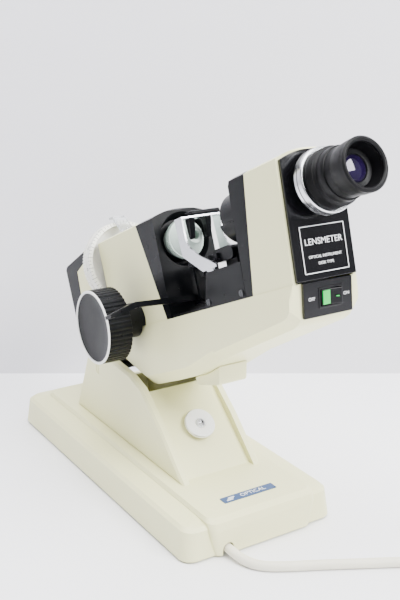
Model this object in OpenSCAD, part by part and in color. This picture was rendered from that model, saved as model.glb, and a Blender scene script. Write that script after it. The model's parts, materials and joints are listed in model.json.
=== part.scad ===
// Manual lensmeter: an optical head that tilts on a weighted desk stand.
// Frame: origin on the table under the middle of the base, +X to the user's
// right, -Y towards the user's eye, +Z up. Millimetres.

/* [Stand] */
// Width of the base over its flange
base_w = 150; // [140:1:160]
// Length of the base over its flange
base_l = 332; // [320:1:345]
// Height of the raised deck above the table
deck_z = 34; // [32:0.5:36]
// Slope of the ramp that carries the clamp knob, degrees
ramp_a = 40; // [38:0.5:42]

/* [Head] */
// Tilt of the optical axis, eyepiece end up, degrees
tilt = 23.3; // [21.5:0.1:26]
// Half width of the upper housings
head_hw = 28; // [27.5:0.1:28.5]
// Radius of the power knob
knob_r = 33; // [30:0.5:34]
// Radius of the axis wheel
wheel_r = 41.5; // [40:0.1:41.8]
// Radius of the eyecup mouth
eyecup_r = 19; // [17:0.5:21]

/* [Cord] */
// Diameter of the mains cord
cord_d = 8; // [7.6:0.1:8]

/* [Hidden] */
$fn = 96;
half_l = base_l / 2;
// Hinge pin in the head's frame, whose origin is on the optical axis at the lens stop.
piv_y = 163.9;
piv_z = -94.4;
pin_r = 5;
run = 0.05;
// Hinge pin in the stand's frame.
hinge_y = 52.9;
hinge_z = 88;
seam_z = -65;
ramp_y = -65;
ramp_z = 65.2;
stud_r = 3;
rod_x = 14;
rod_z = -31;
shaft_y = 82.8;
shaft_z = -57.5;
shaft_r = 3;
pitch_r = 6;
lever_z = -52;
crank_x = 16;
mark_y = -46;
switch_a = 16.6;
mark_z = -25.6;
teeth = 12;
rack_pitch = PI;
cord_r = cord_d / 2;
gland_x = -36.5;
coil_x = 155;
coil_y = -262;
coil_r = 40;
exit_r = 60;
exit_turn = 86;
exit_start = 56;
plug_z = 9;
ivory = [0.87, 0.86, 0.79];
black = [0.1, 0.1, 0.11];
steel = [0.72, 0.73, 0.75];
silver = [0.85, 0.86, 0.87];

module in_head() {
  translate([0, hinge_y, hinge_z])
    rotate([-tilt, 0, 0])
      translate([0, -piv_y, -piv_z])
        children();
}

module on_ramp() {
  translate([0, ramp_y, ramp_z])
    rotate([ramp_a, 0, 0])
      children();
}

// Side profile, drawn as [y, z], given a width from x0 to x1.
module side(x0, x1) {
  translate([x0, 0, 0])
    rotate([90, 0, 90])
      linear_extrude(x1 - x0)
        children();
}

// Cross-section, drawn as [x, z], running from y0 to y1.
module along(y0, y1) {
  translate([0, y1, 0])
    rotate([90, 0, 0])
      linear_extrude(y1 - y0)
        children();
}

module cyl_y(r, y0, y1, x = 0, z = 0) {
  translate([x, y1, z])
    rotate([90, 0, 0])
      cylinder(r = r, h = y1 - y0);
}

module cyl_x(r, x0, x1, y = 0, z = 0) {
  translate([x0, y, z])
    rotate([0, 90, 0])
      cylinder(r = r, h = x1 - x0);
}

module tube_y(ro, ri, y0, y1, x = 0, z = 0) {
  difference() {
    cyl_y(ro, y0, y1, x, z);
    cyl_y(ri, y0 - 1, y1 + 1, x, z);
  }
}

module tube_x(ro, ri, x0, x1, y = 0, z = 0) {
  difference() {
    cyl_x(ro, x0, x1, y, z);
    cyl_x(ri, x0 - 1, x1 + 1, y, z);
  }
}

module block(x0, x1, y0, y1, z0, z1) {
  translate([x0, y0, z0])
    cube([x1 - x0, y1 - y0, z1 - z0]);
}

module slab(hw, y0, y1, r, z0, h) {
  translate([0, 0, z0])
    linear_extrude(h) {
      translate([-hw, y0 + r])
        square([2 * hw, y1 - y0 - 2 * r]);
      translate([r - hw, y0])
        square([2 * (hw - r), y1 - y0]);
      for (sx = [-1, 1], y = [y0 + r, y1 - r])
        translate([sx * (hw - r), y])
          circle(r = r, $fn = 32);
    }
}

module both() {
  children();
  mirror([1, 0, 0])
    children();
}

// ---- stand ----

cheek_pts = [[104, deck_z - 1], [79, 85], [74, 101], [66, 106], [17, 106],
  [-10, 104], [-32, 97.5], [-66, 71], [-106, deck_z - 1]];

module flange_solid() {
  hull() {
    slab(base_w / 2, -half_l, half_l, 12, 2, 1);
    slab(base_w / 2 - 2.6, -half_l + 2.6, half_l - 2.6, 12, 25, 1);
    slab(base_w / 2 - 5.5, -half_l + 5.5, half_l - 5.5, 12, 28.2, 0.5);
    slab(54, -half_l + 14, half_l - 14, 12, 30.2, 0.3);
  }
}

module deck_solid() {
  hull() {
    slab(48, -half_l - 3.2, 150, 6, 2, 1);
    slab(52.4, -half_l - 4, half_l - 14, 6, 24, 1);
    slab(53, -half_l - 2, half_l - 15, 8, deck_z - 3.4, 0.4);
    slab(51, -half_l + 3, half_l - 17, 8, deck_z - 0.2, 0.2);
  }
}

module cheek() {
  hull() {
    side(33.5, 38.6)
      polygon(cheek_pts);
    side(38.5, 40.5)
      offset(delta = -2.2)
        polygon(cheek_pts);
  }
}

module base_shell() {
  color(ivory)
  difference() {
    union() {
      difference() {
        union() {
          flange_solid();
          deck_solid();
        }
        difference() {
          union() {
            slab(base_w / 2 - 3.4, -half_l + 3.6, half_l - 3.6, 9, 1, 3.4);
            slab(base_w / 2 - 7.4, -half_l + 7.4, half_l - 7.4, 8, 4, 22);
            slab(47, -half_l + 8, half_l - 24, 6, 20, deck_z - 23.4);
          }
          for (sx = [-1, 1], y = [-140, 0, 140])
            translate([sx * 58, y, 4.2])
              cylinder(r = 5, h = 30);
        }
      }
      both()
        cheek();
      side(-34, 34)
        polygon([[-98.5, deck_z - 1], [-94, deck_z - 1], [-27.2, 89.2], [-31, 92.4]]);
      block(-34, 34, 88, 92, deck_z - 1, 58);
    }
    both()
      cyl_x(7, 30, 38, hinge_y, hinge_z);
    both()
      cyl_x(4.8, 37, 42, hinge_y, hinge_z);
    block(-31, 31, -62, 84, 26, deck_z + 5);
    on_ramp()
      translate([0, 0, -12])
        cylinder(r = stud_r + 0.1, h = 24);
    translate([gland_x, -half_l - 8, 7])
      rotate([-90, 0, 0])
        cylinder(r = 5.2, h = 14);
    block(gland_x - 5.2, gland_x + 5.2, -half_l - 8, -half_l + 6, 0, 7);
    for (sx = [-1, 1], y = [-140, 0, 140])
      translate([sx * 58, y, 0])
        cylinder(r = 1.6, h = 16);
  }
}

module base_plate() {
  color([0.16, 0.16, 0.17])
  difference() {
    slab(70.6, -half_l + 4.4, half_l - 4.4, 9, 2.6, 1.5);
    for (sx = [-1, 1], y = [-140, 0, 140])
      translate([sx * 58, y, 0])
        cylinder(r = 1.7, h = 10);
    translate([gland_x - 6, -half_l, 0])
      cube([12, 37, 10]);
    for (i = [-4 : 4])
      translate([i * 9 - 2, 70, 0])
        cube([4, 34, 10]);
  }
}

module rubber_mat() {
  color([0.08, 0.08, 0.08])
  difference() {
    slab(71.2, -half_l + 3.8, half_l - 3.8, 9, 0, 2.6);
    for (sx = [-1, 1], y = [-140, 0, 140])
      translate([sx * 58, y, -1])
        cylinder(r = 4, h = 10);
    translate([gland_x - 6, -half_l, -1])
      cube([12, 37, 10]);
    translate([-40, 66, -1])
      cube([80, 42, 10]);
  }
}

module base_screws() {
  color(steel)
    for (sx = [-1, 1], y = [-140, 0, 140])
      translate([sx * 58, y, 0])
        rotate_extrude()
          polygon([[0, 1.3], [3, 1.3], [3.2, 1.9], [3.2, 2.6], [1.6, 2.6], [1.6, 14], [0, 14]]);
}

module transformer_core() {
  color([0.35, 0.33, 0.32])
  difference() {
    block(-25, 25, -30, 12, 4.1, 46);
    block(-17, -8, -32, 14, 12, 38);
    block(8, 17, -32, 14, 12, 38);
  }
}

module transformer_winding() {
  color([0.75, 0.55, 0.2])
  difference() {
    block(-16.8, 16.8, -38, 20, 12.2, 37.8);
    block(-8.2, 8.2, -30.2, 12.2, 10, 40);
  }
}

module terminal_block() {
  color([0.9, 0.88, 0.8])
  difference() {
    block(-26, 18, 40, 54, 4.1, 18);
    for (i = [0 : 4])
      translate([-21 + i * 8.6, 47, 10])
        cylinder(r = 2, h = 10);
  }
}

module base_label() {
  color([0.16, 0.27, 0.5])
    translate([0, 0, deck_z])
      linear_extrude(0.5)
        hull()
          for (sx = [-1, 1], y = [-147.6, -140.4])
            translate([sx * 25.4, y])
              circle(r = 0.8);
}

module tilt_knob() {
  color([0.93, 0.93, 0.92])
  on_ramp()
    rotate_extrude()
      polygon([[stud_r, 1], [11, 1], [13.4, 1.5], [14.2, 2.4], [14.2, 4.6], [13.6, 5.4],
        [5.4, 5.4], [4.6, 4.6], [stud_r, 4.4]]);
}

module clamp_stud() {
  color(steel)
  on_ramp()
    difference() {
      union() {
        translate([0, 0, -16])
          cylinder(r = stud_r, h = 20.6);
        translate([0, 0, 4.4])
          cylinder(r = 4.3, h = 1.1);
      }
      translate([-3, -0.5, 4.9])
        cube([6, 1, 2]);
    }
}

module clamp_plate() {
  color([0.5, 0.5, 0.52])
  on_ramp()
    difference() {
      translate([-14, -11, -10])
        cube([28, 22, 4]);
      translate([0, 0, -14])
        cylinder(r = stud_r + run, h = 12);
    }
}

module hinge_bushes() {
  color([0.72, 0.55, 0.3])
    both()
      difference() {
        union() {
          cyl_x(7, 33.5, 38, hinge_y, hinge_z);
          cyl_x(9, 32, 33.5, hinge_y, hinge_z);
        }
        cyl_x(pin_r + run, 30, 40, hinge_y, hinge_z);
      }
}

module hinge_plugs() {
  color([0.82, 0.81, 0.75])
    both()
      difference() {
        cyl_x(4.8, 38.2, 40, hinge_y, hinge_z);
        block(39.6, 42, hinge_y - 0.6, hinge_y + 0.6, hinge_z - 5, hinge_z + 5);
      }
}

// ---- tilting head ----

module hinge_pin() {
  color(steel)
  in_head()
    cyl_x(pin_r, -37.8, 37.8, piv_y, piv_z);
}

module hinge_bracket() {
  color([0.3, 0.3, 0.32])
  in_head()
    difference() {
      union() {
        both()
          hull() {
            cyl_x(12, 24, 29, piv_y, piv_z);
            block(24, 29, 108, 190, -78.2, -76.2);
          }
        block(-27, 27, 108, 142, -78.2, -75);
      }
      cyl_x(pin_r, -40, 40, piv_y, piv_z);
    }
}

tray_front = [[-159.2, seam_z], [-152.6, -89], [-149, -92.4], [-142, -94.6],
  [-109, -98.2], [-66, -102.7], [-40, -107], [-40, seam_z]];
tray_mid = [[-40, seam_z], [-40, -107], [-16, -111], [-3, -114.8], [6, -116.4],
  [40, -117.8], [80, -118.4], [88, -116.5], [131, -90.2], [152, -79], [152, seam_z]];
tray_rear = [[152, seam_z], [152, -79], [160, -76.2], [212, -73], [218.6, -69], [219.6, seam_z]];

module tray_part(pts, lift) {
  hull() {
    side(-head_hw - 0.6, head_hw + 0.6)
      intersection() {
        polygon(pts);
        translate([-200, seam_z - 4])
          square([500, 4]);
      }
    side(-31, 31)
      intersection() {
        translate([0, lift])
          polygon(pts);
        translate([-200, -200])
          square([500, 200 + seam_z - 10]);
      }
    side(-23, 23)
      polygon(pts);
  }
}

module lower_tray() {
  color(ivory)
  in_head()
    difference() {
      union() {
        tray_part(tray_front, 7);
        tray_part(tray_mid, 9);
        tray_part(tray_rear, 2);
      }
      side(-26.5, 26.5)
        offset(delta = -3)
          polygon([[-170, -50], [-159.2, seam_z], [-152.6, -89], [-109, -97], [-40, -106],
            [6, -114.5], [80, -116.4], [131, -88.4], [152, -78], [216, -73], [219.6, -50]]);
      cyl_x(shaft_r + 2.6, -40, -20, shaft_y, shaft_z);
      on_switch()
        block(-10.7, 10.7, -5, 20, -7.7, 7.7);
      block(-29.5, -23.5, 107, 191, -120, -73);
      block(23.5, 29.5, 107, 191, -120, -73);
    }
}

module stop_block() {
  color(ivory)
  in_head()
    side(-14, 14)
      polygon([[-16.4, -112.2], [-9.8, -126.8], [-7.6, -127.6], [26, -125.4], [27, -117.5],
        [6, -116.5], [-3, -115], [-15, -112.5]]);
}

module optical_bed() {
  color([0.62, 0.63, 0.65])
  in_head() {
    difference() {
      union() {
        block(-22, 22, -146, 150, -75, -70);
        block(-22, 22, 138, 206, -70.6, -67.6);
        block(-18, 18, 46, 52, -70.5, -16);
        block(-18, 18, 122, 127, -70.5, -16);
        block(-24, 24, 150, 154, -69, 16);
        block(-14, 14, -146, -140, -70.5, -13);
        block(-14, 14, -116, -111, -70.5, -13);
        tube_y(16.8, 14, 46, 52);
        tube_y(17.6, 15, 122, 127);
      }
      cyl_y(14, 40, 60);
      cyl_y(15, 118, 130);
      cyl_y(21, 140, 160);
      for (sx = [-1, 1])
        cyl_y(2.5, 40, 130, sx * rod_x, rod_z);
      cyl_y(15, -150, -100);
      block(-6, 6, 40, 130, -54, -44);
    }
  }
}

module head_section(d) {
  offset(delta = -d)
    intersection() {
      translate([-head_hw, seam_z])
        square([2 * head_hw, 100]);
      translate([0, 27.5 - 68])
        circle(r = 68, $fn = 240);
    }
  translate([-head_hw + d, seam_z - 1])
    square([2 * (head_hw - d), 80]);
}

cover_pts = [[28.6, seam_z], [50.2, 21], [52.2, 28.5], [140, 27], [168.1, 21.5],
  [168.1, 12.1], [192.9, 5], [200.5, seam_z]];
cap_pts = [[200.8, seam_z], [193.2, 5.2], [168.4, 12.3], [168.4, 21.4], [217, 14.6],
  [220.8, 11.6], [219.4, seam_z]];
bezel_pts = [[28.3, seam_z], [49.9, 21], [51.9, 28.4], [22, 28.4], [17.6, 26],
  [18.4, 0], [20.2, seam_z]];

module rear_housing() {
  color(ivory)
  in_head()
    difference() {
      intersection() {
        along(20, 210)
          head_section(0);
        side(-30, 30)
          polygon(cover_pts);
      }
      intersection() {
        along(10, 220)
          head_section(2.6);
        block(-25.4, 25.4, 10, 220, seam_z - 2, 18);
      }
      cyl_y(43.2, 132.5, 148.6);
      cyl_y(24.55, 128.35, 134);
      cyl_y(26.05, 147, 150.05);
      cyl_x(shaft_r + 2.6, -40, -20, shaft_y, shaft_z);
    }
}

module rear_cap() {
  color(black)
  in_head()
    difference() {
      intersection() {
        along(160, 225)
          head_section(0);
        side(-30, 30)
          polygon(cap_pts);
      }
      block(-25.2, 25.2, 160, 217.4, seam_z - 1, 11);
      for (i = [-3 : 3])
        translate([i * 6.5 - 1.25, 210, -42])
          cube([2.5, 20, 30]);
    }
}

module front_bezel() {
  color(black)
  in_head()
    difference() {
      intersection() {
        along(10, 60)
          head_section(0);
        side(-30, 30)
          polygon(bezel_pts);
      }
      difference() {
        block(-25.4, 25.4, 24, 60, seam_z - 1, 18);
        cyl_y(24, 20, 34);
      }
      translate([0, 30, 0])
        rotate([90, 0, 0])
          cylinder(r1 = 19.5, r2 = 25.5, h = 16);
      cyl_y(14.6, 10, 60);
      cyl_y(3.05, 15, 30, 0, -52);
    }
}

module nozzle() {
  color([0.83, 0.88, 0.83])
  in_head()
    difference() {
      union() {
        translate([0, 22, 0])
          rotate([90, 0, 0])
            linear_extrude(6)
              polygon([for (i = [0 : 143]) let (r = i % 2 == 0 ? 17.3 : 16.6)
                r * [cos(i * 2.5), sin(i * 2.5)]]);
        translate([0, 16, 0])
          rotate([90, 0, 0])
            rotate_extrude()
              polygon([[4, 0], [16, 0], [15.4, 1.4], [8.2, 12.2], [7, 16], [4, 16]]);
        cyl_y(14, 20, 44);
      }
      cyl_y(4, -2, 20);
      cyl_y(11.4, 17, 50);
    }
}

module collimator_tube() {
  color([0.25, 0.25, 0.27])
  in_head()
    difference() {
      cyl_y(13.95, 44.2, 60);
      cyl_y(11.6, 46, 62);
      cyl_y(10, 40, 50);
    }
}

module lens_y(r, y, t, edge) {
  translate([0, y, 0])
    rotate([90, 0, 0])
      rotate_extrude()
        polygon(concat([[0, -edge / 2 - t]],
          [for (i = [1 : 12]) [r * i / 12, -edge / 2 - t * (1 - (i / 12) * (i / 12))]],
          [for (i = [12 : -1 : 0]) [r * i / 12, edge / 2 + t * (1 - (i / 12) * (i / 12))]]));
}

module collimator_lens() {
  color([0.8, 0.88, 0.92, 0.5])
  in_head()
    lens_y(11.5, 50.2, 1.6, 2);
}

module guide_rods() {
  color(steel)
  in_head()
    for (sx = [-1, 1])
      cyl_y(2.5, 46.4, 126.6, sx * rod_x, rod_z);
}

module rack_2d() {
  // Teeth point down. The pitch line is at z = shaft_z + pitch_r.
  pl = shaft_z + pitch_r;
  union() {
    translate([58, pl + 1.2])
      square([50, 4.3]);
    for (i = [-7 : 6])
      translate([shaft_y + (i + 0.5) * rack_pitch, pl])
        polygon([[-1.02, 1.3], [1.02, 1.3], [0.34, -0.85], [-0.34, -0.85]]);
  }
}

module target_carriage() {
  color([0.55, 0.56, 0.58])
  in_head()
    difference() {
      union() {
        cyl_y(17.4, 90, 100);
        block(-18, 18, 90, 100, -36, -10);
        block(-4, 4, 90, 100, -48, -20);
        side(-4, 4)
          rack_2d();
      }
      cyl_y(14.05, 88, 102);
      for (sx = [-1, 1])
        cyl_y(2.55, 88, 102, sx * rod_x, rod_z);
    }
}

module target_disc() {
  color([0.75, 0.85, 0.8, 0.6])
  in_head() {
    cyl_y(12, 94, 96);
    tube_y(14, 12, 91, 99);
  }
}

module pinion_shaft() {
  color(steel)
  in_head() {
    cyl_x(shaft_r, -70, 21.5, shaft_y, shaft_z);
    translate([-5, shaft_y, shaft_z])
      rotate([90, 0, 90])
        linear_extrude(10)
          union() {
            circle(r = 4.7);
            for (i = [0 : teeth - 1])
              rotate(i * 360 / teeth + 90)
                polygon([[4.2, -1.0], [5.9, -0.62], [6.75, -0.3], [6.75, 0.3], [5.9, 0.62], [4.2, 1.0]]);
          }
  }
}

module shaft_bushes() {
  color([0.72, 0.55, 0.3])
  in_head() {
    tube_x(5.6, shaft_r + run, -31, -22, shaft_y, shaft_z);
    tube_x(5.6, shaft_r + run, 16, 22, shaft_y, shaft_z);
    difference() {
      block(16.5, 21.5, 74, 91.6, -70, -52);
      cyl_x(5.6, 10, 30, shaft_y, shaft_z);
    }
  }
}

module knob_boss() {
  color(black)
  in_head()
    difference() {
      union() {
        cyl_x(15.4, -49.6, -31.2, shaft_y, shaft_z);
        intersection() {
          cyl_x(15.4, -32, -28.1, shaft_y, shaft_z);
          block(-33, -28, 60, 110, seam_z + 0.2, 0);
        }
      }
      cyl_x(shaft_r + 0.4, -60, -20, shaft_y, shaft_z);
      cyl_x(5.8, -32, -20, shaft_y, shaft_z);
    }
}

module power_knob() {
  color(black)
  in_head()
    translate([-72.4, shaft_y, shaft_z])
      rotate([90, 0, 90])
        difference() {
          union() {
            linear_extrude(21.8)
              polygon([for (i = [0 : 143]) let (r = i % 3 == 0 ? knob_r - 0.8 : knob_r)
                r * [cos(i * 2.5), sin(i * 2.5)]]);
          }
          translate([0, 0, -1])
            cylinder(r = knob_r - 2.4, h = 3);
          translate([0, 0, 5])
            difference() {
              cylinder(r = knob_r - 3, h = 20);
              cylinder(r = 8, h = 20);
            }
          translate([0, 0, 2.4])
            cylinder(r = shaft_r, h = 30);
        }
}

module knob_ring() {
  color([0.95, 0.95, 0.94])
  in_head()
    translate([-73.6, shaft_y, shaft_z])
      rotate([90, 0, 90])
        rotate_extrude()
          polygon([[knob_r - 2.4, 0.2], [knob_r - 2, 0], [knob_r - 0.6, 0], [knob_r - 0.1, 0.5],
            [knob_r - 0.1, 1.2], [knob_r - 2.4, 1.2]]);
}

module knob_cap() {
  color([0.3, 0.3, 0.32])
  in_head()
    translate([-73.2, shaft_y, shaft_z])
      rotate([90, 0, 90])
        rotate_extrude()
          polygon([[0, 1.6], [20, 1.3], [28, 0.7], [knob_r - 2.6, 0.2], [knob_r - 2.6, 2.7], [0, 2.7]]);
}

module wheel_collar() {
  color([0.6, 0.61, 0.63])
  in_head()
    difference() {
      union() {
        cyl_y(22, 131, 150);
        cyl_y(24.5, 128.4, 131);
        cyl_y(26, 148.6, 150);
      }
      cyl_y(19.5, 120, 156);
    }
}

module axis_wheel() {
  color([0.93, 0.92, 0.88])
  in_head()
    difference() {
      union() {
        cyl_y(wheel_r - 0.9, 133.4, 142.6);
        translate([0, 147.4, 0])
          rotate([90, 0, 0])
            linear_extrude(5)
              polygon([for (i = [0 : 179]) let (r = i % 2 == 0 ? wheel_r : wheel_r - 0.7)
                r * [cos(i * 2), sin(i * 2)]]);
      }
      cyl_y(37, 130, 143.4);
      cyl_y(22 + run, 130, 150);
    }
}

module axis_index() {
  color([0.92, 0.94, 0.95, 0.4])
  in_head()
    side(-6.5, 6.5)
      polygon([[108, 27.5], [120, 27.5], [124, 29.6], [135, 43.6], [142, 44.6],
        [142, 46.6], [134, 46], [120, 29.6], [108, 29.6]]);
}

module lamp_socket() {
  color([0.85, 0.84, 0.8])
  in_head()
    difference() {
      union() {
        cyl_y(10, 194, 210);
        block(-12, 12, 200, 206, -67.6, -6);
      }
      cyl_y(7, 190, 206);
    }
}

module lamp_bulb() {
  color([0.95, 0.93, 0.85, 0.5])
  in_head()
    translate([0, 206, 0])
      rotate([90, 0, 0])
        rotate_extrude()
          polygon([[0, 0], [7, 0], [7, 11], [7.6, 13], [10, 19], [10.6, 24], [9.4, 29],
            [6.4, 33], [3, 35], [0, 35.6]]);
}

module filter_slide() {
  color([0.3, 0.62, 0.38, 0.7])
  in_head()
    difference() {
      block(-20, 20, 156, 159, -67.6, 14);
      for (sx = [-1, 1])
        cyl_y(3, 150, 165, sx * 12, -56);
    }
}

module lens_table() {
  color([0.14, 0.14, 0.15])
  in_head()
    difference() {
      union() {
        block(-16, 16, -17, -5, -27.4, -23.4);
        for (i = [0 : 3])
          block(-14 + i * 8, -9.5 + i * 8, -17, -14, -23.6, -21.2);
        block(-7, 7, -5.4, 4.4, -27.4, -23.4);
        block(-7, 7, 1, 4.4, -55, -24);
        block(6, 20.6, 1, 4.4, -55, -46);
      }
      block(12.4, 22, 0, 6, -53.9, -50.1);
      cyl_y(3, 0, 6, 0, -33);
    }
}

module table_lever() {
  color(black)
  in_head() {
    cyl_y(3, 6, 28, 0, lever_z);
    hull() {
      block(-5.6, 5.6, 7, 14.6, -57.6, -52);
      block(-4.4, 4.4, 7, 14.6, -50.6, -49.2);
    }
    block(4, 17.6, 7, 10, -54.4, -49.6);
    cyl_y(1.6, 0.6, 8, crank_x, lever_z);
    hull() {
      cyl_y(2.5, 8.5, 13.5, -5, lever_z);
      cyl_y(2.2, 8.5, 13.5, -64, -48.6);
    }
    hull() {
      block(-70, -66, 6.8, 15.2, -51.5, -47.5);
      block(-90, -86, 5, 16, -56, -53.2);
    }
    block(-68, -62, 8.2, 13.8, -51.4, -47);
  }
}

module saddle_cover() {
  color(black)
  in_head()
    difference() {
      union() {
        side(-28.2, 28.2)
          polygon([[-38, seam_z + 0.1], [-50, -37.6], [-101.1, -37.6], [-98.7, seam_z + 0.1]]);
        block(-27.4, 27.4, -50, 18, seam_z + 0.1, -62.8);
      }
      side(-25.6, 25.6)
        polygon([[-42.4, seam_z - 1], [-53.4, -40], [-104, -40], [-104, seam_z - 1]]);
      both()
        block(15, 21, -68.4, -40, -48.4, -36);
      for (sx = [-1, 1], y = [-45.6, -94.4])
        cyl_x(1.5, sx * 27 - 3, sx * 27 + 3, y, -60.5);
    }
}

module saddle_screws() {
  color(steel)
  in_head()
    both()
      for (y = [-45.6, -94.4]) {
        cyl_x(1.5, 24, 28.4, y, -60.5);
        difference() {
          cyl_x(2.6, 28.2, 29.2, y, -60.5);
          block(28.8, 30, y - 0.35, y + 0.35, -64, -57);
        }
      }
}

module lens_clamp() {
  color(silver)
  in_head()
    both() {
      side(18, 19.4)
        polygon([[-3.6, 14], [-4.4, -17.4], [-32, -35], [-53.6, -34.2], [-53.6, -32.4],
          [-31, -21.2], [-17.8, -12], [-15.4, -7], [-15, 4], [-15.6, 14]]);
      block(-0.1, 19.4, -15.6, -3.6, 12.6, 14);
      block(15.6, 19.4, -50.6, -38, -36.2, -34.6);
      block(15.6, 20.4, -49.6, -43, -47.6, -35);
      cyl_y(2.2, -108, -43, 18, -45);
    }
}

module clamp_pads() {
  color([0.12, 0.12, 0.13])
  in_head() {
    for (x = [-8, 8])
      hull() {
        block(x - 2.6, x + 2.6, -13.6, -5.4, 11.4, 12.5);
        cyl_y(2, -9.4, -5.4, x, -2.6);
      }
    hull() {
      cyl_x(2.2, -8, 20, -4.5, 16.3);
      cyl_x(2.2, -8, 20, -12.5, 16.3);
    }
  }
}

module marker_block() {
  color([0.09, 0.09, 0.1])
  in_head()
    difference() {
      union() {
        hull() {
          cyl_x(5.5, -12, 12, mark_y, mark_z);
          cyl_x(5.5, -12, 12, mark_y - 18, mark_z);
        }
        block(-9, 9, -69, -52, -37.6, -28);
      }
      cyl_x(2 + run, -20, 20, mark_y, mark_z);
      for (i = [-2 : 2])
        block(i * 4.4 - 0.8, i * 4.4 + 0.8, -80, -52, -22.4, -18);
    }
}

module marker_pins() {
  color([0.09, 0.09, 0.1])
  in_head() {
    cyl_x(2, -14, 14, mark_y, mark_z);
    both()
      block(12.4, 14.4, mark_y - 3, mark_y + 9.6, mark_z - 2.2, mark_z + 2.2);
    block(-14.4, 14.4, mark_y + 6.6, mark_y + 9.6, mark_z - 1.8, mark_z + 1.8);
    for (x = [-5, 0, 5])
      cyl_y(1.1, mark_y + 9, mark_y + 14, x, mark_z);
  }
}

scope_pts = [[-108.2, seam_z], [-129.3, 21.6], [-131, 28.5], [-168, 28.5], [-171, 26],
  [-169.5, 16.8], [-159.3, seam_z]];
frame_pts = [[-98.8, seam_z], [-106, 17.8], [-110, 24], [-124, 28.4], [-130.7, 28.4],
  [-129, 21.6], [-107.9, seam_z]];

module scope_housing() {
  color(ivory)
  in_head()
    difference() {
      intersection() {
        along(-180, -100)
          head_section(0);
        side(-30, 30)
          polygon(scope_pts);
      }
      block(-25.4, 25.4, -166, -90, seam_z - 1, 18);
      cyl_y(15, -180, -150);
      block(-15, 15, -175, -150, -62, -30);
    }
}

module scope_frame() {
  color(black)
  in_head()
    difference() {
      intersection() {
        along(-140, -90)
          head_section(0);
        side(-30, 30)
          polygon(frame_pts);
      }
      block(-25.4, 25.4, -140, -109.6, seam_z - 1, 18);
      block(-25.4, 25.4, -112, -104, seam_z - 1, -52);
      cyl_y(15, -120, -90);
      cyl_y(18.55, -106, -90);
      for (sx = [-1, 1])
        cyl_y(2.2 + run, -120, -90, sx * 18, -45);
    }
}

module objective_hood() {
  color(black)
  in_head()
    difference() {
      union() {
        cyl_y(18.5, -106, -72);
        cyl_y(14.95, -125, -100);
        intersection() {
          cyl_y(22.5, -98, -74);
          block(-30, 30, -100, -60, -40, -6);
        }
      }
      cyl_y(12, -130, -60);
      cyl_y(16.6, -84, -60);
    }
}

module objective_lens() {
  color([0.8, 0.86, 0.95, 0.5])
  in_head()
    lens_y(12, -96, 1.4, 3);
}

module front_panel() {
  color([0.05, 0.05, 0.055])
  in_head()
    difference() {
      intersection() {
        along(-180, -150)
          offset(delta = -1.8)
            head_section(0);
        side(-30, 30)
          polygon([[-159.4, -64.8], [-169.6, 16.8], [-171.05, 25.8], [-174, 25.4], [-172.8, 17],
            [-162.6, -64.8]]);
      }
      cyl_y(15, -180, -150);
    }
}

// Switch frame: origin on the panel's outer face, -Y outwards, +Z up the panel.
module on_switch() {
  translate([1.5, -159, -77])
    rotate([switch_a, 0, 0])
      children();
}

module switch_panel() {
  color([0.05, 0.05, 0.055])
  in_head()
    difference() {
      union() {
        side(-21.6, 21.6)
          polygon([[-152.8, -89], [-160, -64.8], [-162.4, -65.6], [-155.2, -89.8]]);
        on_switch()
          block(-10.5, 10.5, -1, 8, -7.5, 7.5);
      }
      on_switch()
        block(-9.2, 9.2, -3, 6.4, -5.9, 5.9);
    }
}

module rocker_switch() {
  color([0.1, 0.55, 0.2])
  in_head()
    on_switch()
      translate([0, 0, -5.6])
        linear_extrude(11.2) {
          polygon([[-8.2, 1.6], [-8.2, -0.8], [0, -1.4], [8.2, -3.4], [8.2, 1.6]]);
          intersection() {
            translate([0, -1])
              circle(r = 5.6);
            translate([-8, 0.5])
              square([16, 6]);
          }
        }
}

module scope_tube() {
  color(black)
  in_head()
    difference() {
      union() {
        cyl_y(14.95, -184, -146);
        cyl_y(20.5, -177.5, -173.7);
      }
      cyl_y(12, -190, -140);
    }
}

module reticle_ring() {
  color(silver)
  in_head()
    translate([0, -178, 0])
      rotate([90, 0, 0])
        rotate_extrude()
          polygon([[15, 0], [22.4, 0], [23.4, 1], [23.4, 8.4], [22.6, 9.2], [15, 9.2]]);
}

module dioptre_ring() {
  color([0.07, 0.07, 0.08])
  in_head() {
    translate([0, -187.6, 0])
      rotate([90, 0, 0])
        rotate_extrude()
          polygon([[20.6, 0], [20.6, 9], [19, 10.4], [17.6, 20], [17.4, 26],
            [eyecup_r - 0.4, 34], [eyecup_r, 38.4], [eyecup_r - 1.4, 39.4], [eyecup_r - 3, 36],
            [13.4, 28], [11, 26], [11, 1], [11, 0]]);
    tube_y(11.9, 10.6, -190, -166);
    lens_y(12.5, -210, 1.2, 3);
  }
}

// ---- mains cord ----

cord_pts = [[gland_x, -132, 7], [gland_x, -150, 7], [gland_x, -166, 7], [-36.2, -176, 6.4],
  [-34.4, -186, 5], [-29.6, -196, 4], [-22, -204, 4], [-8, -212.5, 4], [8, -220.5, 4],
  [24, -229, 4], [42, -239, 4], [60, -248.6, 4], [75.4, -257.1, 4], [90.7, -268.4, 4],
  [106.1, -282.2, 4], [121.4, -296.8, 4]];

function unit(v) = v / norm(v);
function spline(p, n) = [for (i = [0 : len(p) - 2]) for (j = [0 : n - 1])
  let (t = j / n, a = p[max(i - 1, 0)], b = p[i], c = p[i + 1], d = p[min(i + 2, len(p) - 1)])
    0.5 * (2 * b + (c - a) * t + (2 * a - 5 * b + 4 * c - d) * t * t
      + (3 * b - a - 3 * c + d) * t * t * t)];
function ring(p, q, r, n) = let (t = unit(q), s = unit(cross(t, [0, 0, 1])), u = cross(s, t))
  [for (k = [0 : n - 1]) p + r * (cos(360 * k / n) * s + sin(360 * k / n) * u)];

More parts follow.
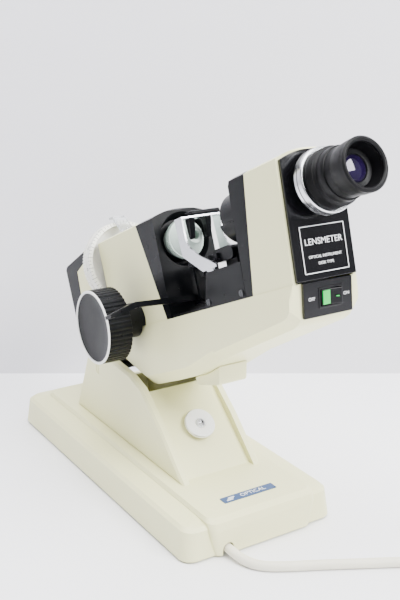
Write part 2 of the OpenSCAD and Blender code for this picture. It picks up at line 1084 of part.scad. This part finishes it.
module cord_tube(pts, r, n) {
  m = len(pts);
  rings = [for (i = [0 : m - 1])
    ring(pts[i], pts[min(i + 1, m - 1)] - pts[max(i - 1, 0)], r, n)];
  polyhedron(points = [for (g = rings) for (p = g) p],
    faces = concat([[for (k = [0 : n - 1]) k]],
      [for (i = [0 : m - 2]) for (k = [0 : n - 1])
        [i * n + k, (i + 1) * n + k, (i + 1) * n + (k + 1) % n, i * n + (k + 1) % n]],
      [[for (k = [n - 1 : -1 : 0]) (m - 1) * n + k]]));
}

module mains_cord() {
  color([0.86, 0.85, 0.77])
    cord_tube(concat(spline(cord_pts, 3), [cord_pts[len(cord_pts) - 1]]), cord_r, 12);
}

module cord_coil() {
  color([0.86, 0.85, 0.77])
    translate([coil_x, coil_y, 0])
      rotate_extrude()
        for (p = [[-1, 0], [0, 0], [1, 0], [-1, 1], [0, 1], [1, 1]])
          translate([coil_r + p[0] * (cord_d - 0.4), cord_r + p[1] * (cord_d - 1.2)])
            circle(r = cord_r, $fn = 32);
}

module mains_plug() {
  // The last of the cord leaves the coil in one bend and ends in the plug.
  translate([coil_x - coil_r - 8.3 + exit_r, coil_y, plug_z])
    rotate([0, 0, 180 + exit_start])
      color([0.86, 0.85, 0.77])
        rotate_extrude(angle = exit_turn - exit_start)
          translate([exit_r, 0])
            circle(r = cord_r, $fn = 32);
  translate([coil_x - coil_r - 8.3 + exit_r, coil_y, plug_z])
    rotate([0, 0, 180 + exit_turn])
      translate([exit_r, 0, 0])
        rotate([-90, 0, 0]) {
          color([0.85, 0.84, 0.77])
            rotate_extrude()
              polygon([[0, -1.5], [4.8, -1.5], [5.6, 14], [7.4, 22], [8.9, 28], [8.9, 46],
                [8.2, 48], [0, 48]]);
          color(steel)
            for (s = [-1, 1])
              translate([s * 4.75, 0, 47])
                cylinder(r = 2, h = 18);
        }
}

base_shell();
base_plate();
rubber_mat();
base_screws();
transformer_core();
transformer_winding();
terminal_block();
base_label();
tilt_knob();
clamp_stud();
clamp_plate();
hinge_bushes();
hinge_plugs();
hinge_pin();
hinge_bracket();
lower_tray();
stop_block();
optical_bed();
rear_housing();
rear_cap();
front_bezel();
nozzle();
collimator_tube();
collimator_lens();
guide_rods();
target_carriage();
target_disc();
pinion_shaft();
shaft_bushes();
knob_boss();
power_knob();
knob_ring();
knob_cap();
wheel_collar();
axis_wheel();
axis_index();
lamp_socket();
lamp_bulb();
filter_slide();
lens_table();
table_lever();
saddle_cover();
saddle_screws();
lens_clamp();
clamp_pads();
marker_block();
marker_pins();
scope_housing();
scope_frame();
objective_hood();
objective_lens();
front_panel();
switch_panel();
rocker_switch();
scope_tube();
reticle_ring();
dioptre_ring();
mains_cord();
cord_coil();
mains_plug();
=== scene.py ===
"""Looks of a desk lensmeter: moulded shells, metal parts, printed scales and the mains cord.

The head's own frame has its origin on the optical axis at the lens stop, y towards the rear, z up.
"""

import json
import math

import bmesh
import bpy
from mathutils import Matrix, Vector


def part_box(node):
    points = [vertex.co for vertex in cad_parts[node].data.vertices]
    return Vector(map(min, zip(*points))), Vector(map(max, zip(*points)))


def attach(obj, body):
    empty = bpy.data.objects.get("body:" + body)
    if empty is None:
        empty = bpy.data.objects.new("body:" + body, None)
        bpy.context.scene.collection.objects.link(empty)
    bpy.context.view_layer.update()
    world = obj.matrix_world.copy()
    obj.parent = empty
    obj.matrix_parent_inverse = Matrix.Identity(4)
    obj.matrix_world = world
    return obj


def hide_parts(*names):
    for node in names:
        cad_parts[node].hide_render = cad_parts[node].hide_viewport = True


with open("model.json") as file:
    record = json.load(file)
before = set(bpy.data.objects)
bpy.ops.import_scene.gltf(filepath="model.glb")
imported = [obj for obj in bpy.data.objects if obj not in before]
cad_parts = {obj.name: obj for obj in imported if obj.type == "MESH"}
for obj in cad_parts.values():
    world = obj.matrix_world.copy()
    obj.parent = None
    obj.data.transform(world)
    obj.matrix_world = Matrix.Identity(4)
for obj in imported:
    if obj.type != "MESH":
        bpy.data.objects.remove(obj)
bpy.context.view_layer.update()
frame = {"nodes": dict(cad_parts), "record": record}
NODES = frame["nodes"]
BODY_OF = {n: b for b, ns in frame["record"]["behaviour"]["bodies"].items() for n in ns}
SLOT_OF = {s["node"]: s["material_slot"] for s in frame["record"]["subparts"]}

MM = 0.001
TILT = math.radians(23.3)
AXIS_ORIGIN = Vector((0, -0.060293, 0.239531))   # the lens stop, at rest
CAMERA_PLACE = Vector((-0.41821, -0.73426, 0.43261))
CAMERA_AZIMUTH, CAMERA_PITCH = 0.56034, 0.30653
HEAD = Matrix.Translation(AXIS_ORIGIN) @ Matrix.Rotation(-TILT, 4, "X")


# ---- camera ----

def camera():
    data = bpy.data.cameras.new("camera")
    data.lens, data.sensor_width = 57.874, 36
    cam = bpy.data.objects.new("camera", data)
    bpy.context.scene.collection.objects.link(cam)
    az, pitch = CAMERA_AZIMUTH, CAMERA_PITCH
    ahead = Vector((math.sin(az) * math.cos(pitch), math.cos(az) * math.cos(pitch), -math.sin(pitch)))
    right = Vector((math.cos(az), -math.sin(az), 0))
    up = right.cross(ahead)
    turn = Matrix((right, up, -ahead)).transposed()
    cam.matrix_world = Matrix.Translation(CAMERA_PLACE) @ turn.to_4x4()
    bpy.context.scene.camera = cam


# ---- materials ----

class Shader:
    """A Principled material with fine procedural variation of tone, roughness and surface."""

    def __init__(self, name, colour, rough, metal=0.0, coat=0.0, **sockets):
        self.mat = bpy.data.materials.new(name)
        self.mat.use_nodes = True
        self.tree = self.mat.node_tree
        self.bsdf = self.tree.nodes["Principled BSDF"]
        self.colour, self.rough = colour, rough
        self.bsdf.inputs["Metallic"].default_value = metal
        self.bsdf.inputs["Coat Weight"].default_value = coat
        for key, value in sockets.items():
            self.bsdf.inputs[key.replace("_", " ")].default_value = value
        self.coords = self.tree.nodes.new("ShaderNodeTexCoord").outputs["Object"]

    def node(self, kind, **values):
        made = self.tree.nodes.new(kind)
        for key, value in values.items():
            if key in made.inputs:
                made.inputs[key].default_value = value
            else:
                setattr(made, key, value)
        return made

    def link(self, a, b):
        self.tree.links.new(a, b)

    def noise(self, scale, detail=4, stretch=None):
        made = self.node("ShaderNodeTexNoise", Scale=scale, Detail=detail)
        if stretch:
            mapping = self.node("ShaderNodeMapping")
            mapping.inputs["Scale"].default_value = stretch
            self.link(self.coords, mapping.inputs["Vector"])
            self.link(mapping.outputs[0], made.inputs["Vector"])
        else:
            self.link(self.coords, made.inputs["Vector"])
        return made.outputs["Fac"]

    def tone(self, scale=30, spread=0.04, dirt=None):
        ramp = self.node("ShaderNodeValToRGB")
        dark = dirt or tuple(c * (1 - spread) for c in self.colour)
        ramp.color_ramp.elements[0].color = (*dark, 1)
        ramp.color_ramp.elements[1].color = (*self.colour, 1)
        ramp.color_ramp.elements[0].position = 0.25
        ramp.color_ramp.elements[1].position = 0.62
        self.link(self.noise(scale), ramp.inputs["Fac"])
        self.link(ramp.outputs["Color"], self.bsdf.inputs["Base Color"])
        return self

    def polish(self, scale=60, spread=0.08, stretch=None):
        span = self.node("ShaderNodeMapRange")
        span.inputs["To Min"].default_value = max(0.02, self.rough - spread)
        span.inputs["To Max"].default_value = self.rough + spread
        self.link(self.noise(scale, stretch=stretch), span.inputs["Value"])
        self.link(span.outputs["Result"], self.bsdf.inputs["Roughness"])
        return self

    def grain(self, scale=2500, strength=0.15, depth=0.00006, stretch=None):
        bump = self.node("ShaderNodeBump", Strength=strength, Distance=depth)
        self.link(self.noise(scale, detail=2, stretch=stretch), bump.inputs["Height"])
        self.link(bump.outputs["Normal"], self.bsdf.inputs["Normal"])
        return self


def materials():
    def plain(name, colour, rough, **more):
        return Shader(name, colour, rough, **more).tone().polish()

    made = {
        "ivory_plastic": Shader("ivory_plastic", (0.78, 0.765, 0.44), 0.42, coat=0.04)
        .tone(14, 0.03).polish(90, 0.05).grain(2600, 0.22, 0.00008),
        "black_plastic": Shader("black_plastic", (0.003, 0.0034, 0.0042), 0.3, Specular_IOR_Level=0.12)
        .tone(60, 0.25).polish(160, 0.07).grain(3000, 0.3, 0.00008),
        "panel_black": Shader("panel_black", (0.004, 0.004, 0.005), 0.18, Specular_IOR_Level=0.35)
        .tone(60, 0.25).polish(80, 0.05).grain(2000, 0.06, 0.00003),
        "white_plastic": plain("white_plastic", (0.86, 0.86, 0.84), 0.33).grain(1800, 0.06, 0.00004),
        "scale_white": plain("scale_white", (0.8, 0.79, 0.73), 0.38).grain(1800, 0.06, 0.00004),
        "nozzle_plastic": plain("nozzle_plastic", (0.56, 0.67, 0.6), 0.28).grain(1800, 0.06, 0.00004),
        "steel": plain("steel", (0.6, 0.61, 0.63), 0.28, metal=1.0).grain(900, 0.12, 0.00004),
        "aluminium": Shader("aluminium", (0.66, 0.67, 0.69), 0.2, metal=1.0)
        .tone(50, 0.05).polish(140, 0.06, (1, 8, 1)).grain(700, 0.05, 0.00003, (1, 10, 1)),
        "grey_metal": plain("grey_metal", (0.045, 0.047, 0.05), 0.34, metal=0.35).grain(1500, 0.15, 0.00005),
        "bronze": plain("bronze", (0.5, 0.36, 0.17), 0.4, metal=1.0),
        "rubber": plain("rubber", (0.003, 0.003, 0.0035), 0.4, Specular_IOR_Level=0.14)
        .grain(1800, 0.3, 0.0001),
        "glass": Shader("glass", (0.9, 0.92, 1.0), 0.02, Transmission_Weight=0.9, IOR=1.5)
        .tone(20, 0.03).polish(40, 0.01),
        "filter_glass": Shader("filter_glass", (0.2, 0.62, 0.32), 0.05, Transmission_Weight=0.8)
        .tone(20, 0.06).polish(40, 0.02),
        "clear_plastic": Shader("clear_plastic", (0.93, 0.95, 0.96), 0.06, Transmission_Weight=0.86, IOR=1.46)
        .tone(20, 0.03).polish(60, 0.03),
        "lamination": plain("lamination", (0.16, 0.15, 0.14), 0.5, metal=0.4)
        .grain(800, 0.3, 0.0001, (40, 1, 1)),
        "winding": plain("winding", (0.6, 0.38, 0.1), 0.45).grain(900, 0.4, 0.0001, (1, 1, 20)),
        "label_blue": plain("label_blue", (0.012, 0.055, 0.17), 0.3).grain(1500, 0.05, 0.00003),
        # Painted glow: the switch's green lens and dash are made to emit light, though the instrument is
        # unplugged and its lamp is unlit.
        "switch_green": Shader("switch_green", (0.006, 0.4, 0.06), 0.2, coat=0.2,
                               Emission_Color=(0.01, 0.6, 0.08, 1), Emission_Strength=0.5)
        .tone(80, 0.15).polish(60, 0.04),
        "cord_pvc": plain("cord_pvc", (0.78, 0.75, 0.62), 0.42).grain(900, 0.12, 0.00006),
        "ink": plain("ink", (0.02, 0.02, 0.022), 0.4),
        "print_white": plain("print_white", (0.82, 0.83, 0.83), 0.4),
        "lens_coating": Shader("lens_coating", (0.012, 0.006, 0.035), 0.06, metal=0.2, coat=0.4)
        .tone(120, 0.5).polish(40, 0.02),
    }
    return {key: value.mat for key, value in made.items()}


# ---- mesh helpers ----

SHARP_ANGLE = 28   # degrees; an edge sharper than this is rounded


def link_mesh(name, verts, faces):
    me = bpy.data.meshes.new(name)
    me.from_pydata(verts, [], faces)
    me.update()
    ob = bpy.data.objects.new(name, me)
    bpy.context.scene.collection.objects.link(ob)
    return ob


def from_bmesh(name, bm):
    me = bpy.data.meshes.new(name)
    bm.to_mesh(me)
    bm.free()
    ob = bpy.data.objects.new(name, me)
    bpy.context.scene.collection.objects.link(ob)
    return ob


def finish_piece(ob, mat, body, smooth=35):
    ob.data.materials.clear()
    ob.data.materials.append(MATS[mat])
    for face in ob.data.polygons:
        face.use_smooth = True
    ob.data.set_sharp_from_angle(angle=math.radians(smooth))
    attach(ob, body)
    return ob


def soften(node, width, segments, mat=None):
    """The CAD node's own shape with its hard edges rounded over, by width in millimetres."""
    src = NODES[node].data
    bm = bmesh.new()
    spots = [bm.verts.new(v.co) for v in src.vertices]
    for p in src.polygons:
        corner = [spots[i] for i in p.vertices]
        if len(set(corner)) == len(corner):
            try:
                bm.faces.new(corner)
            except ValueError:
                pass
    bmesh.ops.remove_doubles(bm, verts=bm.verts, dist=2e-6)
    bmesh.ops.dissolve_limit(bm, angle_limit=math.radians(0.4), verts=bm.verts, edges=bm.edges)
    bmesh.ops.recalc_face_normals(bm, faces=bm.faces)
    ob = from_bmesh(node + "_skin", bm)
    if width:
        mod = ob.modifiers.new("round", "BEVEL")
        mod.width, mod.segments, mod.limit_method = width * MM, segments, "ANGLE"
        mod.angle_limit, mod.harden_normals, mod.miter_outer = math.radians(SHARP_ANGLE), True, "MITER_ARC"
    finish_piece(ob, mat or SLOT_OF[node], BODY_OF[node])
    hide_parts(node)
    return ob


def box_piece(bm, centre, size, matrix=Matrix.Identity(4)):
    """A small bar with its own corners, for marks and lines."""
    made = bmesh.ops.create_cube(bm, size=1.0)["verts"]
    scale = Matrix.Diagonal((*size, 1))
    bmesh.ops.transform(bm, matrix=matrix @ Matrix.Translation(centre) @ scale, verts=made)


def lettering(name, text, size, matrix, mat, body, depth=0.00012):
    curve = bpy.data.curves.new(name, "FONT")
    curve.body, curve.size, curve.extrude = text, size, depth
    curve.align_x, curve.align_y = "CENTER", "CENTER"
    temp = bpy.data.objects.new(name + "_curve", curve)
    bpy.context.scene.collection.objects.link(temp)
    bpy.context.view_layer.update()
    me = bpy.data.meshes.new_from_object(temp.evaluated_get(bpy.context.evaluated_depsgraph_get()))
    bpy.data.objects.remove(temp)
    me.transform(matrix)
    ob = bpy.data.objects.new(name, me)
    bpy.context.scene.collection.objects.link(ob)
    return finish_piece(ob, mat, body)


# ---- mains cord ----

CORD_ROUTE = [(-0.0365, -0.132, 0.007), (-0.0365, -0.150, 0.007), (-0.0365, -0.166, 0.007),
              (-0.0362, -0.176, 0.0064), (-0.0344, -0.186, 0.005), (-0.0296, -0.196, 0.004),
              (-0.022, -0.204, 0.004), (-0.008, -0.2125, 0.004), (0.008, -0.2205, 0.004),
              (0.024, -0.229, 0.004), (0.042, -0.239, 0.004), (0.060, -0.2486, 0.004),
              (0.0754, -0.2571, 0.004), (0.0907, -0.2684, 0.004), (0.1061, -0.2822, 0.004),
              (0.1214, -0.2968, 0.004)]
COIL_CENTRE = Vector((0.155, -0.262, 0))
CORD_R = 0.004
COIL_R, TURN_GAP, LIFT = 0.040, 0.0083, 0.0082
EXIT_R, PLUG_Z = 0.060, 0.009
EXIT_TURN, EXIT_FALL = 86, 40   # degrees round the bend where the plug starts, and where the cord starts down
START = 226   # degrees round the coil where the cord joins it


def coil_points():
    """Three turns inwards on the table, then three outwards on top of them, and one bend into the plug."""
    radii = [COIL_R + TURN_GAP * k for k in (1, 0, -1, -1, 0, 1)]
    points = []
    for turn, radius in enumerate(radii):
        following = radii[min(turn + 1, 5)]
        last = 314 if turn == 5 else 360
        for step in range(12, last, 12):
            shift = max(0, (step - 300) / 60)
            rise = min(1, max(0, (step - 228) / 72)) if turn == 2 else 0
            r = radius + (following - radius) * shift * shift * (3 - 2 * shift)
            z = CORD_R + LIFT * (rise * rise * (3 - 2 * rise) if turn < 3 else 1)
            a = math.radians(START + step)
            points.append((COIL_CENTRE.x + r * math.cos(a), COIL_CENTRE.y + r * math.sin(a), z))
    hub = COIL_CENTRE + Vector((EXIT_R - COIL_R - TURN_GAP, 0, 0))
    top = CORD_R + LIFT
    for step in range(0, EXIT_TURN + 1, 6):
        a = math.radians(180 + min(step, EXIT_TURN))
        drop = max(0, (step - EXIT_FALL) / (EXIT_TURN - EXIT_FALL))
        points.append((hub.x + EXIT_R * math.cos(a), hub.y + EXIT_R * math.sin(a),
                       top - (top - PLUG_Z) * min(1, drop)))
    return points


# ---- stage ----

def area_light(name, place, target, size, power):
    data = bpy.data.lights.new(name, "AREA")
    data.shape, data.size, data.size_y, data.energy = "RECTANGLE", size[0], size[1], power
    ob = bpy.data.objects.new(name, data)
    bpy.context.scene.collection.objects.link(ob)
    ob.location = place
    ob.rotation_mode = "QUATERNION"
    ob.rotation_quaternion = (Vector(target) - Vector(place)).to_track_quat("-Z", "Y")


def stage():
    table = Shader("table_top", (0.93, 0.93, 0.96), 0.4, coat=0.05).tone(6, 0.01).polish(30, 0.05).mat
    wall = Shader("wall", (0.72, 0.715, 0.76), 0.8).tone(3, 0.015).polish(20, 0.05).mat
    floor = link_mesh("table_top", [(-4, -4, 0), (4, -4, 0), (4, 4, 0), (-4, 4, 0)], [(0, 1, 2, 3)])
    floor.data.materials.append(table)
    ahead = Vector((math.sin(0.56), math.cos(0.56), 0))
    side = Vector((ahead.y, -ahead.x, 0))
    foot = Vector((-0.418, -0.734, 0)) + ahead * 1.075
    back = link_mesh("wall", [foot - side * 4, foot + side * 4, foot + side * 4 + Vector((0, 0, 4)),
                              foot - side * 4 + Vector((0, 0, 4))], [(0, 1, 2, 3)])
    back.data.materials.append(wall)
    area_light("key", (0.5, -1.6, 1.5), (0, 0, 0.1), (1.2, 1.0), 96)
    area_light("top", (-0.2, -0.1, 1.9), (0, 0, 0.1), (1.6, 1.6), 92)
    area_light("left", (-1.6, -0.7, 0.9), (0, 0, 0.15), (1.0, 1.0), 4)
    world = bpy.data.worlds.new("studio")
    bpy.context.scene.world = world
    world.use_nodes = True
    world.node_tree.nodes["Background"].inputs["Color"].default_value = (0.93, 0.95, 1.0, 1)
    world.node_tree.nodes["Background"].inputs["Strength"].default_value = 0.5


camera()
MATS = materials()


def mains_cord():
    line = CORD_ROUTE + coil_points()
    curve = bpy.data.curves.new("mains_cord_line", "CURVE")
    curve.dimensions, curve.use_fill_caps = "3D", True
    curve.bevel_depth, curve.bevel_resolution = CORD_R, 5
    spline = curve.splines.new("NURBS")
    spline.points.add(len(line) - 1)
    for point, place in zip(spline.points, line):
        point.co = (*place, 1)
    spline.use_endpoint_u, spline.order_u, spline.resolution_u = True, 3, 4
    ob = bpy.data.objects.new("mains_cord_line", curve)
    bpy.context.scene.collection.objects.link(ob)
    curve.materials.append(MATS["cord_pvc"])
    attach(ob, "base")
    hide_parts("mains_cord", "cord_coil")
    NODES["mains_plug"].data.materials.clear()
    NODES["mains_plug"].data.materials.append(MATS["cord_pvc"])


mains_cord()

# Rounding of each CAD node's edges, in millimetres.
ROUND = {
    "base_shell": 1.2, "lower_tray": 1.2, "rear_housing": 1.3, "scope_housing": 1.2, "stop_block": 1.2,
    "rear_cap": 1.2, "front_bezel": 0.7, "scope_frame": 0.7, "front_panel": 0.6, "switch_panel": 0.4,
    "rocker_switch": 0.5, "tilt_knob": 0.5, "clamp_stud": 0.3, "lens_clamp": 0.35, "clamp_pads": 0.5,
    "table_lever": 0.6, "lens_table": 0.4, "saddle_cover": 0.5, "marker_block": 0.4, "marker_pins": 0.3,
    "saddle_screws": 0.2, "objective_hood": 0.5, "scope_tube": 0.4, "reticle_ring": 0.3,
    "dioptre_ring": 0.5, "axis_index": 0.4, "base_label": 0.0, "hinge_plugs": 0.2, "knob_ring": 0.2,
    "knob_cap": 0.2, "power_knob": 0.35, "knob_boss": 0.4, "nozzle": 0.25, "axis_wheel": 0.25,
    "wheel_collar": 0.3, "hinge_bracket": 0.5, "base_plate": 0.4, "rubber_mat": 0.4,
    "optical_bed": 0.4, "hinge_pin": 0.3, "terminal_block": 0.4, "transformer_core": 0.4,
    "transformer_winding": 1.5, "base_screws": 0.2, "clamp_plate": 0.4, "hinge_bushes": 0.2,
    "collimator_tube": 0.2, "guide_rods": 0.2, "target_carriage": 0.3, "pinion_shaft": 0.15,
    "shaft_bushes": 0.2, "lamp_socket": 0.5, "filter_slide": 0.2, "target_disc": 0.2,
    "collimator_lens": 0.0, "objective_lens": 0.0, "lamp_bulb": 0.0,
}

# Nodes shown in another material than their slot's.
DARKER = {"knob_cap": "rubber", "saddle_screws": "grey_metal", "rocker_switch": "panel_black",
          "hinge_pin": "grey_metal", "hinge_bushes": "grey_metal"}
for skinned, edge in ROUND.items():
    soften(skinned, edge, 3 if edge > 0.5 else 2, DARKER.get(skinned))


# ---- printed and fine detail, placed in the head's own frame in millimetres ----

def head_at(x, y, z, turn=0.0):
    """A matrix on the head, its +Z facing the user and leaned back by turn degrees."""
    place = Matrix.Translation(Vector((x, y, z)) * MM)
    return HEAD @ place @ Matrix.Rotation(math.radians(90 + turn), 4, "X")


def bars(name, rows, matrix, mat, body, depth=0.00025):
    """Flat raised marks: each row is x, y, width, height in millimetres on the matrix's plane."""
    bm = bmesh.new()
    for x, y, w, h in rows:
        box_piece(bm, Vector((x * MM, y * MM, 0)), (w * MM, h * MM, depth), matrix)
    return finish_piece(from_bmesh(name, bm), mat, body)


def outline(w, h, line):
    return [(0, h / 2, w, line), (0, -h / 2, w, line),
            (-w / 2, 0, line, h + line), (w / 2, 0, line, h + line)]


def lathe(name, profile, mat, body, steps=96):
    """A turned piece round the optical axis; the profile is (radius, y) in millimetres."""
    verts = [HEAD @ (Vector((r * math.cos(a), y, r * math.sin(a))) * MM)
             for r, y in profile for a in [2 * math.pi * k / steps for k in range(steps)]]
    faces = [(i * steps + k, i * steps + (k + 1) % steps,
              (i + 1) * steps + (k + 1) % steps, (i + 1) * steps + k)
             for i in range(len(profile) - 1) for k in range(steps)]
    return finish_piece(link_mesh(name, verts, faces), mat, body)


def front_panel_print():
    face = head_at(0, -176.26, -44.8, 7.1) @ Matrix.Translation((0, 0, -0.0101))
    bars("panel_outline", outline(38.6, 32.4, 0.55), face, "print_white", "head")
    for name, text, size, y in (("panel_title", "LENSMETER", 6.4, 5.2),
                                ("panel_note", "OPTICAL INSTRUMENT", 2.8, -5.2),
                                ("panel_note_2", "DESK TYPE", 2.8, -10)):
        lettering(name, text, size * MM, face @ Matrix.Translation((0, y * MM, 0)), "print_white", "head")


def switch_print():
    face = head_at(1.5, -159, -77, 16.6)
    for name, text, x in (("off_mark", "OFF", -16.4), ("on_mark", "ON", 14.6)):
        place = face @ Matrix.Translation((x * MM, 0, 0.05 * MM))
        lettering(name, text, 3.3 * MM, place, "print_white", "head")
    # The green lens and dash carry a painted glow: their material emits light though the switch is unlit.
    lens = face @ Matrix.Translation((0, 0, 1.15 * MM)) @ Matrix.Rotation(math.radians(4), 4, "Y")
    bars("switch_lens", [(-4.4, 0, 6.4, 9.8)], lens, "switch_green", "rocker", 0.0009)
    bars("switch_dash", [(4.2, 0, 2.4, 0.7)], face @ Matrix.Translation((0, 0, 2.5 * MM))
         @ Matrix.Rotation(math.radians(-14), 4, "Y"), "switch_green", "rocker", 0.0004)


def base_label_print():
    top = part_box("base_label")[1].z
    face = Matrix.Translation((0, -0.144, top))
    lettering("label_text", "OPTICAL", 6.2 * MM, face @ Matrix.Translation((4.5 * MM, 0, 0)),
              "print_white", "base")
    bars("label_mark", [(-16.5, 1.4, 6, 1.1), (-18, -0.2, 6, 1.1), (-19.5, -1.8, 6, 1.1)], face,
         "print_white", "base")


EYECUP_R = 19.0   # the mouth of the rubber eyecup, in millimetres


def eyepiece_detail():
    dome = [(9.4 * math.sin(a), -214.6 - 2.4 * math.cos(a))
            for a in [math.pi / 2 * k / 10 for k in range(1, 11)]]
    lathe("eye_lens", [(0.02, -217.0)] + dome, "lens_coating", "eyepiece")
    lathe("eye_lens_ring", [(9.3, -213.8), (9.3, -215.4), (9.8, -216), (13, -216.4), (13.4, -215.2)],
          "black_plastic", "eyepiece")
    for k in range(6):
        y = -188.9 - k * 1.35
        lathe(f"grip_rib_{k}", [(20.4, y), (21.0, y - 0.2), (21.0, y - 0.6), (20.4, y - 0.8)],
              "rubber", "eyepiece")
    lathe("focus_band", [(18.0, -198.2), (18.9, -198.8), (19.1, -199.4), (19.1, -204.4), (18.7, -205.2),
                         (17.4, -205.6)], "rubber", "eyepiece")
    lathe("eyecup_wall", [(17.3, -209.6), (EYECUP_R - 1.5, -211), (EYECUP_R - 0.9, -213.4),
                          (EYECUP_R - 0.4, -217), (EYECUP_R - 0.1, -223)], "rubber", "eyepiece")
    turn = [math.pi * k / 12 for k in range(-3, 16)]
    lathe("eyecup_rim", [(EYECUP_R - 1.9 + 1.8 * math.cos(a), -225 - 1.8 * math.sin(a)) for a in turn],
          "rubber", "eyepiece")
    lathe("ring_line", [(23.3, -182.0), (23.62, -182.1), (23.62, -182.5), (23.3, -182.6)],
          "ink", "reticle")


def axis_scale():
    bm = bmesh.new()
    for k in range(72):
        turn = HEAD @ Matrix.Rotation(math.radians(5 * k), 4, "Y")
        long = k % 3 == 0
        reach = 3.4 if long else 1.8
        box_piece(bm, Vector((0, 133.6 + reach / 2, 40.62)) * MM, (0.35 * MM, reach * MM, 0.14 * MM), turn)
        box_piece(bm, Vector((0, 133.38, 40.4 - reach / 2)) * MM, (0.35 * MM, 0.14 * MM, reach * MM), turn)
    finish_piece(from_bmesh("axis_ticks", bm), "ink", "wheel")
    for k in range(12):
        turn = HEAD @ Matrix.Rotation(math.radians(30 * k), 4, "Y")
        place = Matrix.Translation(Vector((0, 139.6, 40.64)) * MM) @ Matrix.Rotation(math.pi, 4, "Z")
        lettering(f"axis_number_{k}", str((k % 6) * 30), 3.0 * MM, turn @ place, "ink", "wheel", 0.00006)


front_panel_print()
switch_print()
base_label_print()
eyepiece_detail()
axis_scale()
stage()
